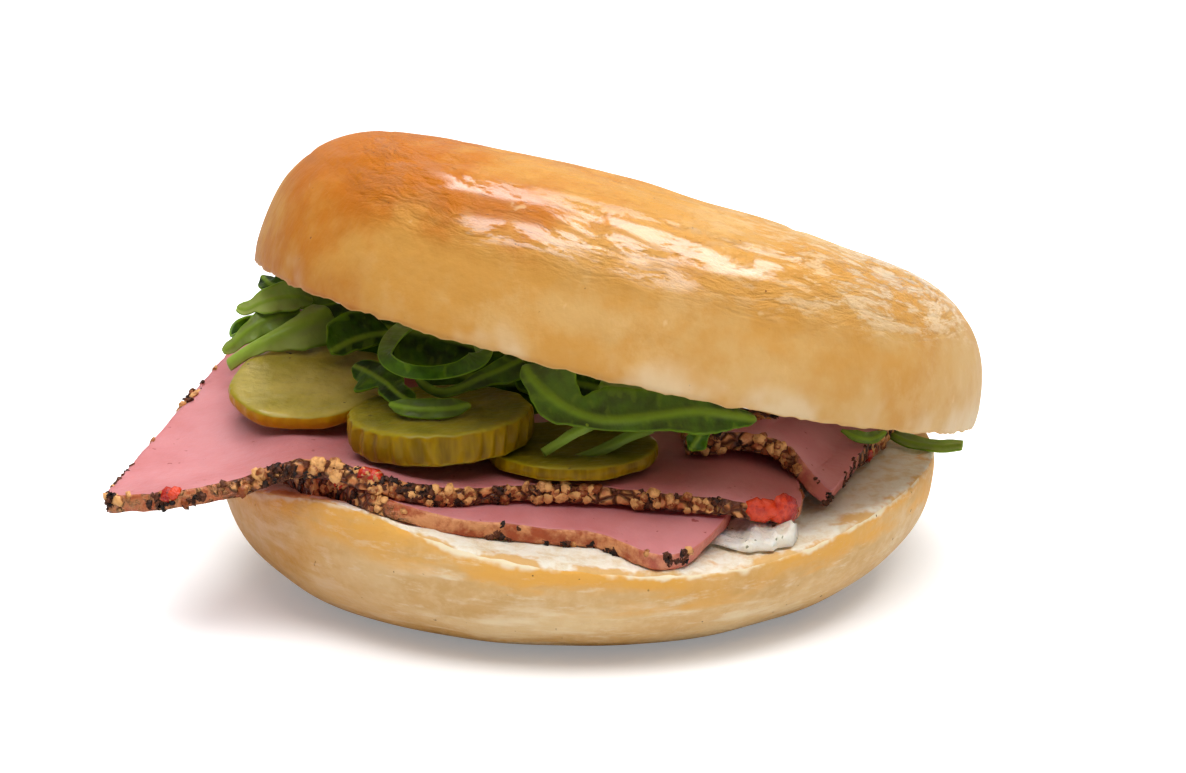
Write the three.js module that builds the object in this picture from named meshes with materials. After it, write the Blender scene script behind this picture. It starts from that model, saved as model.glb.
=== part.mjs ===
// A bagel sandwich: a sliced bagel propped open by peppered pastrami, pickle slices and rocket leaves.
// Millimetres, +Z up. The pieces are made with the middle of the heel on the working origin, its underside
// at zero and the open side of the sandwich towards -Y. The finished group is then moved so that the origin
// is the middle of the underside of the whole sandwich's bounding box.
import * as THREE from "three";

// ---------------------------------------------------------------- driving dimensions
const BAGEL_RADIUS = 57.6; // mean outer radius of the ring
const OVAL = 0.7; // how far the ring is from round
const HOLE_RADIUS = 8.0; // at its narrowest
const WIDEST_HEIGHT = 19.5; // where the ring bulges most, over its underside
const RISE = 23.4; // from there to the top of the ring
const UNEVEN = 4.0; // how much more than that one side of the ring rose, the front one on the crown
const DROP = 20.2; // from there down, before the underside was baked flat
const TOP_POWER = 2.65; // the section over the widest height: 2 is an ellipse, more is squarer
const BASE_POWER = 2.2; // the same under it
const HEEL_CUT = 19.3; // mean height of the knife's cut over the underside, on the heel
const CROWN_CUT = 20.0; // the same on the crown
const AIR = 0.3; // gap kept between neighbouring solids

const MEAT = 2.4; // thickness of a slice of pastrami
const SPREAD = 1.2; // thickness of the soft cheese
const SPREAD_OUTER = 49.5; // its mean outer radius
const SPREAD_INNER = 13; // and its inner one, round the hole
const LOWER_LEFT = -39; // ends of the lower slice of pastrami
const LOWER_RIGHT = 23.5;
const UPPER_LEFT = -69.5; // ends of the upper one
const UPPER_RIGHT = 33.8;

// How the crown lies on the filling: turned against the heel, with its front left raised.
const CROWN_CENTRE = new THREE.Vector3(6.2, 1.0, 35.6); // middle of its cut face
const CROWN_PITCH = deg(-9.4); // lifts the front
const CROWN_ROLL = deg(13.2); // lowers the right
const CROWN_SPIN = deg(90);
const CROWN_WEDGE = deg(2.0); // the crown is thicker on its left

function deg(angle) {
  return THREE.MathUtils.degToRad(angle);
}

const lerp = THREE.MathUtils.lerp;
const smooth = THREE.MathUtils.smoothstep;

// ---------------------------------------------------------------- shared shaping
// Moves every vertex of a geometry to the place that a function gives for it.
function bend(geometry, place) {
  const position = geometry.getAttribute("position");
  const uv = geometry.getAttribute("uv");
  const point = new THREE.Vector3();
  for (let i = 0; i < position.count; i++) {
    point.fromBufferAttribute(position, i);
    place(point, uv.getX(i), uv.getY(i));
    position.setXYZ(i, point.x, point.y, point.z);
  }
  geometry.computeVertexNormals();
  return geometry;
}

// A smooth hump of height 1 round a circle, at one angle in degrees; a larger tightness makes it narrower.
function hump(theta, centre, tightness) {
  return Math.exp(tightness * (Math.cos(theta - deg(centre)) - 1));
}

// A smooth bulge of height 1 along a line.
function bulge(x, centre, width) {
  return Math.exp(-(((x - centre) / width) ** 2));
}

// ---------------------------------------------------------------- bagel
const ROUND_STEPS = 48; // sections round the ring
const CRUST_STEPS = 13; // along the crust of one section
const CRUMB_STEPS = 5; // across the cut face of one section

function outerRadius(theta) {
  return BAGEL_RADIUS - OVAL * Math.cos(2 * theta);
}

function holeRadius(theta) {
  return HOLE_RADIUS + (OVAL / 2) * Math.cos(2 * theta);
}

// Height of the cut through the heel: level in the middle, with a lip at the front left and at the right,
// and lower at the front and at the back right. A lip keeps to the rim, and a low place reaches further in.
function heelCut(x, y) {
  const theta = Math.atan2(y, x);
  const share = Math.min(Math.hypot(x, y) / BAGEL_RADIUS, 1.05);
  const lip = 5.2 * hump(theta, 232, 20) + 1.2 * hump(theta, 338, 12);
  const low = 3.2 * hump(theta, 293, 10) + 1.4 * hump(theta, 38, 3);
  return HEEL_CUT + share ** 6 * lip - share ** 3 * low;
}

// Height of the cut through the crown, in the whole bagel's frame.
function crownCut(x, y) {
  return CROWN_CUT - y * Math.tan(CROWN_WEDGE);
}

// A point of the bagel's section: phi is 0 at the outside and pi/2 at the top.
function ringPoint(theta, phi) {
  const outer = outerRadius(theta);
  const hole = holeRadius(theta);
  const across = (outer - hole) / 2;
  const top = Math.sin(phi) > 0;
  const power = 2 / (top ? TOP_POWER : BASE_POWER);
  const reach = top ? RISE + UNEVEN * Math.cos(theta - deg(172)) : DROP;
  const c = Math.cos(phi);
  const s = Math.sin(phi);
  const radius = (outer + hole) / 2 + across * Math.sign(c) * Math.abs(c) ** power;
  const height = WIDEST_HEIGHT + reach * Math.sign(s) * Math.abs(s) ** power;
  return { radius, height: Math.max(height, 0) };
}

// The angle phi at which the crust meets the cut, on the outside or on the wall of the hole.
function cutAngle(theta, cut, outside) {
  let low = outside ? -Math.PI / 2 : Math.PI / 2;
  let high = outside ? Math.PI / 2 : (3 * Math.PI) / 2;
  for (let i = 0; i < 30; i++) {
    const middle = (low + high) / 2;
    const { radius, height } = ringPoint(theta, middle);
    const below = height < cut(radius * Math.cos(theta), radius * Math.sin(theta));
    if (below === outside) low = middle;
    else high = middle;
  }
  return (low + high) / 2;
}

// One half of the bagel: a torus whose section is bent to the crust and then straight across the cut.
function bagelHalf(cut, isCrown) {
  const steps = CRUST_STEPS + CRUMB_STEPS;
  const geometry = new THREE.TorusGeometry(2, 1, steps, ROUND_STEPS);
  return bend(geometry, (point, u, v) => {
    const theta = 2 * Math.PI * u;
    const step = Math.round(v * steps) % steps;
    const outside = cutAngle(theta, cut, true);
    const inside = cutAngle(theta, cut, false);
    let radius;
    let height;
    const crustStep = isCrown ? step : step - CRUMB_STEPS;
    if (crustStep >= 0 && crustStep <= CRUST_STEPS) {
      const from = isCrown ? outside : inside;
      const to = isCrown ? inside : outside + 2 * Math.PI;
      ({ radius, height } = ringPoint(theta, lerp(from, to, crustStep / CRUST_STEPS)));
    } else {
      const share = ((isCrown ? steps - step : step) / CRUMB_STEPS) ** 1.5;
      radius = lerp(ringPoint(theta, outside).radius, ringPoint(theta, inside).radius, share);
      height = cut(radius * Math.cos(theta), radius * Math.sin(theta));
    }
    point.set(radius * Math.cos(theta), radius * Math.sin(theta), height);
  });
}

// ---------------------------------------------------------------- spread
// Soft cheese on the heel's cut face, ragged at its edges, drawn back at the front left and squeezed out
// beside the right end of the lower slice.
const SPREAD_STEPS = 40; // sections round the ring
const SPREAD_SECTION = 6; // corners of one section
const DRAWN_BACK = 6;
const SQUEEZED_OUT = 4.5;
const RAGGED = 1.2;

function spreadEdge(theta) {
  const pulled = SQUEEZED_OUT * hump(theta, 303, 40) - DRAWN_BACK * hump(theta, 250, 3);
  return SPREAD_OUTER + pulled + RAGGED * Math.sin(5 * theta + 1);
}

function spread() {
  const geometry = new THREE.TorusGeometry(2, 1, SPREAD_SECTION, SPREAD_STEPS);
  return bend(geometry, (point, u, v) => {
    const theta = 2 * Math.PI * u;
    const phi = 2 * Math.PI * v;
    const outer = spreadEdge(theta);
    const inner = SPREAD_INNER + 0.8 * Math.sin(4 * theta);
    const radius = (outer + inner) / 2 + ((outer - inner) / 2) * Math.cos(phi);
    const x = radius * Math.cos(theta);
    const y = radius * Math.sin(theta);
    const lift = Math.sin(phi) > 0.01 ? SPREAD : 0;
    point.set(x, y, heelCut(x, y) + AIR + lift);
  });
}

// ---------------------------------------------------------------- pastrami
const SLICE_COLUMNS = 20;
const SLICE_ROWS = 4;

// A slice of meat: a flat box bent so that its middle follows surface(u, v), with u along and v across.
function slice(surface) {
  const geometry = new THREE.BoxGeometry(1, 1, 1, SLICE_COLUMNS, SLICE_ROWS, 1);
  const step = 0.01;
  return bend(geometry, (point) => {
    const u = point.x + 0.5;
    const v = point.y + 0.5;
    const side = point.z * 2;
    const along = surface(u + step, v).sub(surface(u - step, v));
    const across = surface(u, v + step).sub(surface(u, v - step));
    const normal = along.cross(across).normalize();
    point.copy(surface(u, v)).addScaledVector(normal, (side * MEAT) / 2);
  });
}

// A slice that lies down: left(v) and right are its ends, front(x) and back(x) its edges and height(x, y)
// the height of its middle.
function lyingSlice(left, right, front, back, height) {
  return slice((u, v) => {
    const x = lerp(left(v), right, u);
    const y = lerp(front(x), back(x), (v + v * v) / 2);
    return new THREE.Vector3(x, y, height(x, y));
  });
}

// Middle of a slice that lies on the heel, over the spread where there is some.
function onHeel(x, y) {
  const edge = spreadEdge(Math.atan2(y, x));
  const overSpread = 1 - smooth(Math.hypot(x, y), edge, edge + 5);
  return heelCut(x, y) + AIR + (SPREAD + AIR) * overSpread + MEAT / 2;
}

function lowerSlice() {
  const front = (x) => {
    const ends = 11 * smooth(-x, 28, 37) + 9 * smooth(x, 18.5, LOWER_RIGHT);
    return -49.5 - 6.2 * bulge(x, 12.5, 6.5) + ends + 0.4 * Math.sin(x / 2.3);
  };
  const back = (x) => 4 - 20 * smooth(x, 2, 23);
  return lyingSlice((v) => LOWER_LEFT - 12 * v, LOWER_RIGHT, front, back, onHeel);
}

// The upper slice lies on the lower one, hangs over the heel's left side and climbs to the back left.
function overLower(x, y) {
  const leftEnd = -LOWER_LEFT + 1 + 0.25 * Math.max(y + 42, 0);
  const beforeRight = 1 - smooth(x, LOWER_RIGHT + 1.5, LOWER_RIGHT + 9);
  const onLower = beforeRight * (1 - smooth(-x, leftEnd, leftEnd + 7));
  const climb = 0.19 * smooth(-x, 30, 46) * Math.max(y + 38, 0);
  return onHeel(x, y) + (MEAT + 2.2 * AIR) * onLower + climb;
}

function upperSlice() {
  const front = (x) => {
    const bulges = 3.2 * bulge(x, -59, 8) + 4.5 * bulge(x, -27, 9) + 1.7 * smooth(x, 2, 22);
    const ends = 2 * smooth(-x, 62, 70) + 4.5 * smooth(x, 30, 35);
    return -43.4 - bulges + ends + 0.4 * Math.sin(x / 2.1);
  };
  const back = (x) => {
    const left = Math.min(-37 + 3.4 * (x - UPPER_LEFT), 7);
    return left + 7 * smooth(x, -50, -30) - 25 * smooth(x, -12, 14);
  };
  return lyingSlice(() => UPPER_LEFT, UPPER_RIGHT, front, back, overLower);
}

// A slice folded over like a tablecloth: flat on the pile at its left, down on to the bread at its right.
function foldedSlice() {
  const drape = new THREE.CatmullRomCurve3([
    new THREE.Vector3(16.5, 0, 27.8),
    new THREE.Vector3(18.7, 0, 27.8),
    new THREE.Vector3(23.9, 0, 28.6),
    new THREE.Vector3(29.0, 0, 28.0),
    new THREE.Vector3(32.4, 0, 26.0),
    new THREE.Vector3(35.3, 0, 23.1),
    new THREE.Vector3(38.4, 0, 20.6),
  ]);
  return slice((u, v) => {
    const along = Math.min(Math.max(u, 0), 1);
    const point = drape.getPoint(along);
    point.x += (u - along) * 20 + lerp(6, 13.5, smooth(u, 0.1, 0.9)) * v;
    point.y = lerp(-30.5, 3, v) - 4.5 * smooth(u, 0.6, 1) * (1 - v);
    const sink = smooth(v, 0, 0.4) * (1 - u) - 4.5 * v * smooth(u, 0.05, 0.5);
    point.z = Math.max(point.z + sink, onHeel(point.x, point.y) + AIR);
    return point;
  });
}

// Height of the crown's cut face over the working frame's base.
function ceiling(x, y) {
  const across = Math.tan(CROWN_ROLL) * (x - CROWN_CENTRE.x);
  return CROWN_CENTRE.z - across + Math.tan(CROWN_PITCH) * (y - CROWN_CENTRE.y);
}

// A slice doubled over on the left, its fold outwards, which carries the crown.
function doubledSlice() {
  const half = 4.6; // from its middle to the middle of either layer
  const run = 24;
  return slice((u, v) => {
    const y = lerp(14, 32, v);
    const turn = Math.PI * smooth(u, 0.36, 0.64);
    const away = u < 0.5 ? Math.max(0.36 - u, 0) : Math.max(u - 0.64, 0);
    const x = -42 - half * Math.sin(turn) * 1.4 + (run * away) / 0.36;
    const middle = ceiling(x, y) - 2 * AIR - MEAT / 2 - half;
    return new THREE.Vector3(x, y, middle - half * Math.cos(turn));
  });
}

// ---------------------------------------------------------------- pickles
const PICKLE_STEPS = 30;

function pickle(radius, thickness, ridges, depth) {
  const geometry = new THREE.CylinderGeometry(1, 1, 1, PICKLE_STEPS, 2);
  geometry.rotateX(Math.PI / 2);
  return bend(geometry, (point) => {
    const theta = Math.atan2(point.y, point.x);
    const centre = Math.hypot(point.x, point.y);
    const bulge = Math.abs(point.z) < 0.01 ? 0.4 : 0;
    const rim = radius + bulge + depth * Math.sin(ridges * theta) + 0.4 * Math.sin(2 * theta + 1);
    point.set(centre * rim * Math.cos(theta), centre * rim * Math.sin(theta), point.z * thickness);
  });
}

// ---------------------------------------------------------------- rocket leaves
const LEAF_STEPS = 12;
const LEAF_EDGE = 0.5; // thickness at the margin
const LEAF_RIB = 1.3; // and on the midrib
const FACING = new THREE.Vector3(0, -0.956, 0.292); // a blade with no roll faces this way

// A width that runs smoothly through equally spaced values.
function profile(widths, u) {
  const at = Math.min(Math.max(u, 0), 0.9999) * (widths.length - 1);
  const i = Math.floor(at);
  return lerp(widths[i], widths[i + 1], smooth(at - i, 0, 1));
}

// A leaf along its midrib's path, from left to right. `up` and `down` are the widths of its blade over and
// under the midrib, `roll` leans its upper side forwards at each end and `fold` turns both margins forwards.
function leaf({ path, up, down, roll, fold = 0, rib = LEAF_RIB }) {
  const curve = new THREE.CatmullRomCurve3(path.map((place) => new THREE.Vector3(...place)));
  const geometry = new THREE.BoxGeometry(1, 1, 1, LEAF_STEPS, 2, 1);
  return bend(geometry, (point) => {
    const u = point.x + 0.5;
    const side = point.y * 2;
    const face = point.z;
    const tangent = curve.getTangentAt(u);
    const across = FACING.clone().cross(tangent).normalize();
    const normal = tangent.clone().cross(across).normalize();
    const angle = deg(lerp(roll[0], roll[1], u) + side * fold);
    const blade = side === 0 ? 0 : profile(side > 0 ? up : down, u);
    const reach = side * (rib / 2 + blade);
    const thick = side === 0 ? rib : lerp(rib * 0.7, LEAF_EDGE, smooth(blade, 0, 2));
    point.copy(curve.getPointAt(u));
    point.addScaledVector(across, reach * Math.cos(angle) - face * thick * Math.sin(angle));
    point.addScaledVector(normal, reach * Math.sin(angle) + face * thick * Math.cos(angle));
  });
}

// Those that show at the open side, from left to right, and then those behind them.
const LEAVES = {
  rocket_tip: {
    path: [[-50.2, 12, 43.5], [-48.4, 9, 42.5], [-45, 7, 41.4]],
    up: [0, 1, 2, 2],
    down: [0, 1.5, 1, 0],
    roll: [-20, -20],
  },
  rocket_curl: {
    path: [[-53.1, 0, 40.7], [-49.2, -1, 41.8], [-45.6, 0, 42.2], [-41.9, 3, 41.5]],
    up: [0.3, 0.6, 1.2, 1.8, 1.5],
    down: [0.6, 0.6, 1.8, 1, 0.5],
    roll: [0, -20],
    fold: 15,
  },
  rocket_left: {
    path: [[-55.3, -3, 34.6], [-52.6, -3, 36.7], [-48.7, -2, 38.4], [-43.4, 0, 38.9]],
    up: [0.2, 0.8, 1.2, 0.4, 0.6],
    down: [0.8, 1, 0.6, 0.2, 0],
    roll: [-10, -20],
  },
  rocket_long: {
    path: [[-53.7, -7, 33.6], [-48.9, -7, 37.1], [-44.5, -6.5, 39.2], [-39.9, -5, 40.7], [-36, -3, 41.8]],
    up: [0, 0, 0.3, 2, 3, 1],
    down: [0, 0, 1.6, 3, 3.4, 2.5],
    roll: [-25, -15],
    fold: -12,
  },
  rocket_shade: {
    path: [[-37.5, -12, 37.8], [-33.6, -11, 39.8], [-29.3, -10, 40.1], [-23, -8, 39.2]],
    up: [2, 4, 4.5, 4, 2],
    down: [0.5, 0.8, 1.2, 1, 0.5],
    roll: [-20, -30],
  },
  rocket_loop: {
    path: [
      [-26.7, -26, 46.1], [-28.5, -31, 44.4], [-28.1, -35, 42.8], [-24.4, -37.5, 41.9],
      [-19.9, -38, 41.9], [-15.6, -35, 42], [-13.6, -32, 42.5], [-15.5, -29, 43.2],
    ],
    up: [0.5, 0.5, 0.3, 0.4, 0.6, 0.8, 0.8, 0.4],
    down: [0.5, 0.5, 0.4, 0.6, 0.8, 0.6, 0.4, 0.3],
    roll: [0, 0],
    rib: 1.1,
  },
  rocket_blade: {
    path: [
      [-24.3, -25, 37.4], [-21.4, -26.5, 35.4], [-16.6, -27, 35.8],
      [-12.8, -26, 37.3], [-8, -23, 39.1],
    ],
    up: [0.3, 0.2, 0.4, 2.2, 2.6, 1.6],
    down: [0, 0, 0, 0.6, 0.8, 0.5],
    roll: [-10, -20],
    rib: 0.9,
  },
  rocket_lobed: {
    path: [
      [-33.9, -19, 37.1], [-31.9, -23, 36.0], [-27.7, -29, 35.9],
      [-21.8, -33, 35.1], [-15.8, -33, 35.4],
    ],
    up: [0.8, 1.8, 3.4, 2, 0.8, 0.4],
    down: [1.6, 0.8, 2.2, 0.8, 0.5, 0.4],
    roll: [-15, -40],
    rib: 0.9,
  },
  rocket_front: {
    path: [
      [-8, -34, 42], [-5.6, -37, 40], [-0.4, -39, 36.5], [6.3, -39.5, 34.8],
      [15.6, -38.5, 35.2], [27.4, -34, 32.7],
    ],
    up: [0, 2.6, 4.6, 3, 4, 4, 3, 1.5, 0.8, 0.3],
    down: [0.2, 0.8, 2.2, 1.2, 0.8, 1, 4.2, 1.2, 0.6, 0.2],
    roll: [-10, -25],
  },
  rocket_stem: {
    path: [[-4.4, -39.2, 29.9], [-1.5, -40.3, 31.8], [2, -40.8, 33.2]],
    up: [0, 0],
    down: [0, 0],
    roll: [0, 0],
  },
  rocket_cut_stem: {
    path: [[0.5, -38, 29.9], [5.2, -37, 30.5], [8.8, -35, 31.2], [13.5, -31, 31.6]],
    up: [0.1, 0.1, 0.1, 0.1],
    down: [0.1, 0.1, 0.1, 0.1],
    roll: [0, 0],
  },
  rocket_pale: {
    path: [[3.8, -30, 37.9], [9.7, -32, 36], [15.7, -33, 34.7], [24.8, -31, 32.2]],
    up: [1, 1.6, 1, 0.6],
    down: [1, 2, 2, 0.6],
    roll: [-20, -20],
    rib: 0.9,
  },
  rocket_edge: {
    path: [[40.4, -18, 26.7], [43.8, -18, 25.4], [48.1, -14, 24.6]],
    up: [0.2, 0.8, 0.2],
    down: [0.2, 0.5, 0.2],
    roll: [-20, -20],
    rib: 0.8,
  },
  rocket_right: {
    path: [[50.3, -1, 25.2], [51.9, -4, 22.2], [54.9, -6, 20.9], [60.7, -8, 20.7]],
    up: [0.3, 1.6, 1.6, 1, 0.8],
    down: [0.3, 0.3, 0.6, 0.3, 0.6],
    roll: [-60, -60],
    rib: 0.8,
  },
  rocket_inner: {
    path: [[-27, -6, 37], [-19, -12, 34], [-10, -14, 33], [-1, -11, 31.5]],
    up: [3, 5, 5, 3],
    down: [2, 4, 5, 3],
    roll: [-15, -15],
  },
  rocket_core: {
    path: [[0.5, -17, 32.5], [9, -19, 32.5], [19, -19, 31.5]],
    up: [2, 3.5, 2.5, 1],
    down: [3, 4, 3, 1],
    roll: [-15, -15],
  },
  rocket_side: {
    path: [[-53.5, 12, 32], [-52.5, 21, 30], [-46, 32, 28.5]],
    up: [1, 3, 3, 1],
    down: [1, 3.5, 4, 2],
    roll: [-10, -20],
    fold: 12,
  },
  rocket_under: {
    path: [[-50, 15, 26.5], [-42, 21, 26], [-33, 27, 25], [-22, 30, 23.2]],
    up: [2, 5, 5, 2],
    down: [2, 5, 5, 2],
    roll: [-73, -73],
  },
  rocket_back: {
    path: [[-43, 34, 30], [-30, 39, 28.5], [-16, 42, 26.5], [-2, 43, 24.5]],
    up: [2, 4, 4, 3, 1],
    down: [2, 4, 4, 2, 1],
    roll: [-30, -65],
  },
};

// ---------------------------------------------------------------- assembly
const BREAD = 0xd6ae77;
const GLAZED_BREAD = 0xd8a25b;
const CREAM = 0xf2ede2;
const PINK = 0xd99090;
const OLIVE = 0x9a8f3c;
const LEAF_GREEN = 0x4d7a1e;

const sandwich = new THREE.Group();

function add(name, geometry, colour, roughness) {
  const material = new THREE.MeshStandardMaterial({ color: colour, roughness, metalness: 0 });
  const mesh = new THREE.Mesh(geometry, material);
  mesh.name = name;
  sandwich.add(mesh);
  return mesh;
}

add("bagel_heel", bagelHalf(heelCut, false), BREAD, 0.6);
const crown = add("bagel_crown", bagelHalf(crownCut, true).translate(0, 0, -CROWN_CUT), GLAZED_BREAD, 0.4);
crown.position.copy(CROWN_CENTRE);
crown.rotation.set(CROWN_PITCH, CROWN_ROLL + CROWN_WEDGE, CROWN_SPIN, "YXZ");

add("spread", spread(), CREAM, 0.5);
add("pastrami_lower", lowerSlice(), PINK, 0.5);
add("pastrami_upper", upperSlice(), PINK, 0.5);
add("pastrami_folded", foldedSlice(), PINK, 0.5);
add("pastrami_doubled", doubledSlice(), PINK, 0.5);

function addPickle(name, radius, thickness, ridges, depth, centre, pitch, roll) {
  const mesh = add(name, pickle(radius, thickness, ridges, depth), OLIVE, 0.3);
  mesh.position.set(...centre);
  mesh.rotation.set(deg(pitch), deg(roll), 0);
}
addPickle("pickle_middle", 13.3, 5.0, 15, 0.25, [-20.2, -32.0, 31.75], 0, -2.2);
addPickle("pickle_right", 12.4, 2.2, 9, 0.2, [-0.4, -32.6, 28.0], 0, 0.8);
addPickle("pickle_left", 12.1, 2.3, 8, 0.2, [-40.6, -15.6, 33.0], 13, -2);

for (const [name, shape] of Object.entries(LEAVES)) add(name, leaf(shape), LEAF_GREEN, 0.45);

// The origin goes to the middle of the underside of the whole.
const bounds = new THREE.Box3().setFromObject(sandwich, true);
const centre = bounds.getCenter(new THREE.Vector3());
sandwich.position.set(-centre.x, -centre.y, -bounds.min.z);
const root = new THREE.Group();
root.name = "bagel_sandwich";
root.add(sandwich);
export default root;
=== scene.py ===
import math
import random

import bmesh
import bpy
import numpy as np
from mathutils import Matrix, Vector, noise


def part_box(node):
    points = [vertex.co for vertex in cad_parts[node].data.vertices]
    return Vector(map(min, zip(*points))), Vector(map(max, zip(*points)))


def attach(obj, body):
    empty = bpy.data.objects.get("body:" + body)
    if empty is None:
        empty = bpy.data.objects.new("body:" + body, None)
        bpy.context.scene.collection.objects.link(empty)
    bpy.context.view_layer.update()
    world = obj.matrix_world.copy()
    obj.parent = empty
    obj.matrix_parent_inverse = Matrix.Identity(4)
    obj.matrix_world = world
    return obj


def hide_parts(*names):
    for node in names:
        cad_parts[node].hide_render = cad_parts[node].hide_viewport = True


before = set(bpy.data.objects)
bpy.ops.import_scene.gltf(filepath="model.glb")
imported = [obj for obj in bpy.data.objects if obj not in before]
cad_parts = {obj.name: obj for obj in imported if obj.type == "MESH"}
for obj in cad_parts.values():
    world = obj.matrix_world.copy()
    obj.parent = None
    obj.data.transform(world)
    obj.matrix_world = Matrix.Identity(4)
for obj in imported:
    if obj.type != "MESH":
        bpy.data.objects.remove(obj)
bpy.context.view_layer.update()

# ---------------------------------------------------------------- studio
# A white sweep with the sandwich on it, seen a little from above. A wide soft light hangs overhead and
# slightly behind, so the crown shines on its shoulder, a large one in front and a weak one at the right.
MM = 0.001
heel_low, heel_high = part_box("bagel_heel")
HEEL_CENTRE = Vector(((heel_low.x + heel_high.x) / 2, (heel_low.y + heel_high.y) / 2, heel_low.z))


def at(x, y, z):
    """A place in millimetres from the middle of the heel's underside."""
    return HEEL_CENTRE + Vector((x, y, z)) * MM


def aim(thing, place, target):
    thing.location = place
    thing.rotation_euler = (target - place).to_track_quat("-Z", "Y").to_euler()
    bpy.context.scene.collection.objects.link(thing)


camera = bpy.data.objects.new("camera", bpy.data.cameras.new("camera"))
LENS = 122.97
camera.data.lens = LENS
camera.data.sensor_width = 36
camera.data.clip_start = 0.01
aim(camera, at(2.7, -612.0, 215.1), at(2.7, 0, 28.0))
bpy.context.scene.camera = camera
bpy.context.scene.view_settings.view_transform = "Standard"

MIDDLE = at(0, 0, 35)


def softbox(name, place, size, power):
    lamp = bpy.data.lights.new(name, "AREA")
    lamp.shape = "RECTANGLE"
    lamp.size, lamp.size_y = size
    lamp.energy = power
    aim(bpy.data.objects.new(name, lamp), place, MIDDLE)


softbox("top_light", at(90, 120, 620), (0.85, 0.24), 3.4)
softbox("right_light", at(440, 140, 560), (0.36, 0.13), 0.5)
softbox("front_light", at(-60, -300, 640), (0.8, 0.34), 4.2)


def put(tree, kind, inputs=None, **settings):
    """Adds a shader node. An input is a plain value, or the output of another node to join to it."""
    made = tree.nodes.new("ShaderNode" + kind)
    for key, value in settings.items():
        setattr(made, key, value)
    for key, value in (inputs or {}).items():
        if isinstance(value, bpy.types.NodeSocket):
            tree.links.new(value, made.inputs[key])
        else:
            made.inputs[key].default_value = value
    return made


# The wall behind is lit and the room in front is dim, so the crown's far edge is bright.
world = bpy.data.worlds.new("studio")
bpy.context.scene.world = world
world.use_nodes = True
room = world.node_tree
facing = put(room, "SeparateXYZ", {"Vector": put(room, "TexCoord").outputs["Generated"]}).outputs["Y"]
towards_wall = put(room, "MapRange", {"Value": facing, "To Min": 0.09, "To Max": 0.6}).outputs["Result"]
room.links.new(towards_wall, room.nodes["Background"].inputs["Strength"])
room.nodes["Background"].inputs["Color"].default_value = (1, 1, 1, 1)


def new_piece(name, bm):
    """An object made of a finished bmesh."""
    mesh = bpy.data.meshes.new(name)
    bm.to_mesh(mesh)
    bm.free()
    piece = bpy.data.objects.new(name, mesh)
    bpy.context.scene.collection.objects.link(piece)
    return piece


def new_material(name, **settings):
    """A material with the given plain settings. Light that enters it spreads about a millimetre."""
    made = bpy.data.materials.new(name)
    made.use_nodes = True
    shader = made.node_tree.nodes["Principled BSDF"]
    for key, value in settings.items():
        shader.inputs[key.replace("_", " ")].default_value = value
    shader.inputs["Subsurface Scale"].default_value = MM
    return made, made.node_tree, shader


# Painted light: the floor glows to the eye alone, casting no light, from the edge of the contact shadow
# outwards, in metres.
# This paints out the broad cast shadows and leaves a painted contact shadow tight round the heel.
GLOW_STARTS, GLOW_FULL = 0.050, 0.070
floor_bm = bmesh.new()
bmesh.ops.create_grid(floor_bm, x_segments=1, y_segments=1, size=3.0)
bmesh.ops.translate(floor_bm, verts=floor_bm.verts, vec=(0, 0, heel_low.z))
floor = new_piece("floor", floor_bm)
white, tree, shader = new_material("white_sweep", Base_Color=(0.82, 0.82, 0.83, 1), Roughness=0.9)
shader.inputs["Emission Color"].default_value = (1, 1, 1, 1)
seen = put(tree, "LightPath").outputs["Is Camera Ray"]
place = put(tree, "TexCoord").outputs["Object"]
away = put(tree, "VectorMath", {0: place, 1: HEEL_CENTRE}, operation="DISTANCE").outputs["Value"]
glowing = put(tree, "MapRange", {
    "Value": away, "From Min": GLOW_STARTS, "From Max": GLOW_FULL, "To Min": 0.27, "To Max": 0.62,
}).outputs["Result"]
lifted = put(tree, "Math", {0: seen, 1: glowing}, operation="MULTIPLY").outputs["Value"]
tree.links.new(lifted, shader.inputs["Emission Strength"])
floor.data.materials.append(white)

# ---------------------------------------------------------------- heel
# The lower half of a plain white bagel, boiled and then baked on its flat side: a pale tan crust that is
# gold just under the knife's cut, and a soft white crumb, pulled up in tufts where it was cut.


def copied(node, name):
    """A copy of a CAD solid, made of quads where it can be, to be worked on."""
    bm = bmesh.new()
    bm.from_mesh(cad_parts[node].data)
    for face in bm.faces:
        face.material_index = 0
    bmesh.ops.remove_doubles(bm, verts=bm.verts, dist=0.01 * MM)
    bmesh.ops.join_triangles(bm, faces=bm.faces, angle_face_threshold=math.radians(40),
                             angle_shape_threshold=math.radians(120))
    bmesh.ops.recalc_face_normals(bm, faces=bm.faces)
    return new_piece(name, bm)


def dress(piece, body, node=None, finishes=()):
    """Gives a piece its finishes, hangs it on the body it rides on, and hides the CAD part it stands for.
    """
    for finish in finishes:
        piece.data.materials.append(finish)
    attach(piece, body)
    if node:
        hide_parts(node)


def settle(piece):
    """Makes a piece's modifiers part of its mesh, with smooth shading."""
    before = piece.data
    evaluated = piece.evaluated_get(bpy.context.evaluated_depsgraph_get())
    piece.data = bpy.data.meshes.new_from_object(evaluated)
    piece.modifiers.clear()
    bpy.data.meshes.remove(before)
    piece.data.shade_smooth()
    return piece


def finer(piece, levels):
    """Turns a piece into the finer, smoother mesh that a subdivision surface makes of it."""
    modifier = piece.modifiers.new("finer", "SUBSURF")
    modifier.levels = modifier.render_levels = levels
    return settle(piece)


def places(mesh):
    values = np.empty(len(mesh.vertices) * 3)
    mesh.vertices.foreach_get("co", values)
    return values.reshape(-1, 3)


def set_places(mesh, values):
    mesh.vertices.foreach_set("co", values.reshape(-1))
    mesh.update()


def outwards(mesh):
    values = np.empty(len(mesh.vertices) * 3)
    mesh.vertex_normals.foreach_get("vector", values)
    return values.reshape(-1, 3)


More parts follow.
